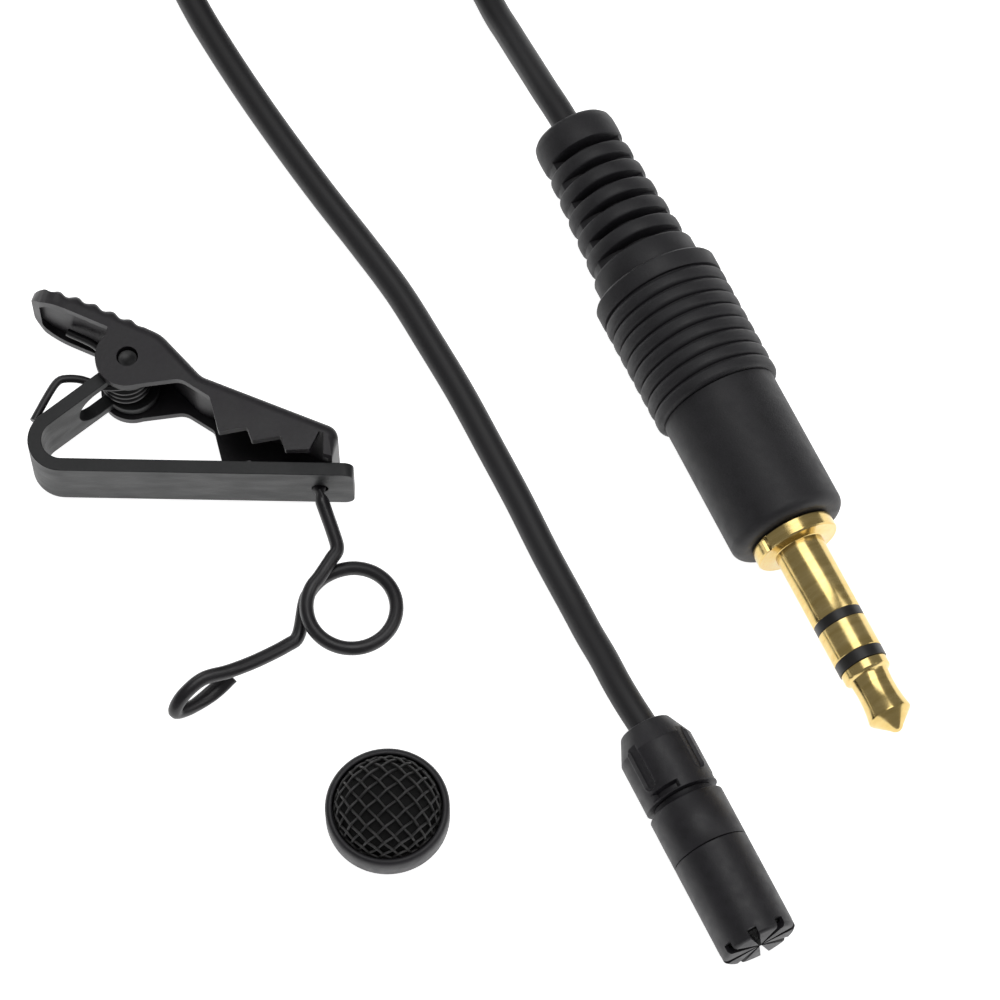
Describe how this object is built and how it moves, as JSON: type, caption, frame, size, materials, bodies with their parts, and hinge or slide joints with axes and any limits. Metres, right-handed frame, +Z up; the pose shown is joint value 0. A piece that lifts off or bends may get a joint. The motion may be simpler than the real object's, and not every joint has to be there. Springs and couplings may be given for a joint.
{
  "type": "lavalier microphone",
  "caption": "Clip-on lavalier microphone: slim capsule head on a thin cord with a jack plug, a sprung jaw clip with a wire holder, and a domed mesh windscreen cap.",
  "frame": {"origin": "on the table, under the middle of the box round the head, the clip and the windscreen as they lie", "axes": "+Z up; +X to the right along the clip jaw, from the thumb pad to the microphone head; +Y towards the coil of cord"},
  "size_m": [0.0595, 0.1072, 0.0097],
  "materials": {
    "head_shell": "satin black anodised aluminium, turned",
    "mesh_wire": "black enamelled steel wire cloth, pressed to a dome",
    "clip_enamel": "semi-gloss black stoved enamel on stamped steel",
    "black_wire": "black enamelled spring steel",
    "plug_shell": "satin black moulded PVC with a fine moulded grain",
    "contact_gold": "polished gold flash over nickel on turned brass",
    "insulator": "black glossy moulded nylon",
    "cord_jacket": "satin black extruded soft PVC jacket",
    "tie_strap": "black moulded nylon",
    "inner_rubber": "matt black moulded rubber",
    "foam": "open-cell foam and felt",
    "capsule_can": "drawn aluminium can",
    "crimp_brass": "plain crimped brass",
    "board_laminate": "green solder-masked laminate",
    "core_moulding": "natural polythene inner moulding",
    "red_insulation": "red PVC insulation",
    "white_insulation": "white PVC insulation"
  },
  "bodies": {
    "microphone": {"rear_collar": "head_shell", "barrel_sleeve": "head_shell", "capsule_housing": "head_shell", "cord_bush": "inner_rubber", "crimp_ferrule": "crimp_brass", "signal_wire": "red_insulation", "return_wire": "white_insulation", "circuit_board": "board_laminate", "electret_capsule": "capsule_can", "capsule_gasket": "inner_rubber", "dust_felt": "foam", "head_cord": "cord_jacket", "cord_coil": "cord_jacket", "cable_tie": "tie_strap", "plug_cord": "cord_jacket", "strain_relief_boot": "plug_shell", "plug_grip": "plug_shell", "plug_core": "core_moulding", "plug_sleeve": "contact_gold", "ring_insulator": "insulator", "plug_ring": "contact_gold", "tip_insulator": "insulator", "plug_tip": "contact_gold"},
    "clip_strip": {"clip_base": "clip_enamel", "pivot_pin": "black_wire", "torsion_spring": "black_wire"},
    "jaw_lever": {"clip_lever": "clip_enamel"},
    "wire_holder": {"holder_wire": "black_wire"},
    "windscreen": {"screen_ring": "head_shell", "fit_bush": "inner_rubber", "foam_pad": "foam", "mesh_dome": "mesh_wire"}
  },
  "joints": [
    {"name": "clip_lift", "type": "slide", "parent": "microphone", "child": "clip_strip", "axis": [0, 0, 1], "range_m": [0, 0.015]},
    {"name": "jaw_hinge", "type": "hinge", "parent": "clip_strip", "child": "jaw_lever", "pos_m": [-0.01886, 0.018, 0.00315], "axis": [0, 0, 1], "range_deg": [0, 30], "stiffness_Nm_per_rad": 0.02, "springref_deg": -40.11, "deforming": ["torsion_spring"]},
    {"name": "holder_swivel", "type": "hinge", "parent": "clip_strip", "child": "wire_holder", "pos_m": [-0.00572, 0.00955, 0.00315], "axis": [0.0192, 0.9998, 0], "continuous": true},
    {"name": "windscreen_lift", "type": "slide", "parent": "microphone", "child": "windscreen", "axis": [0, 0, 1], "range_m": [0, 0.012]}
  ]
}
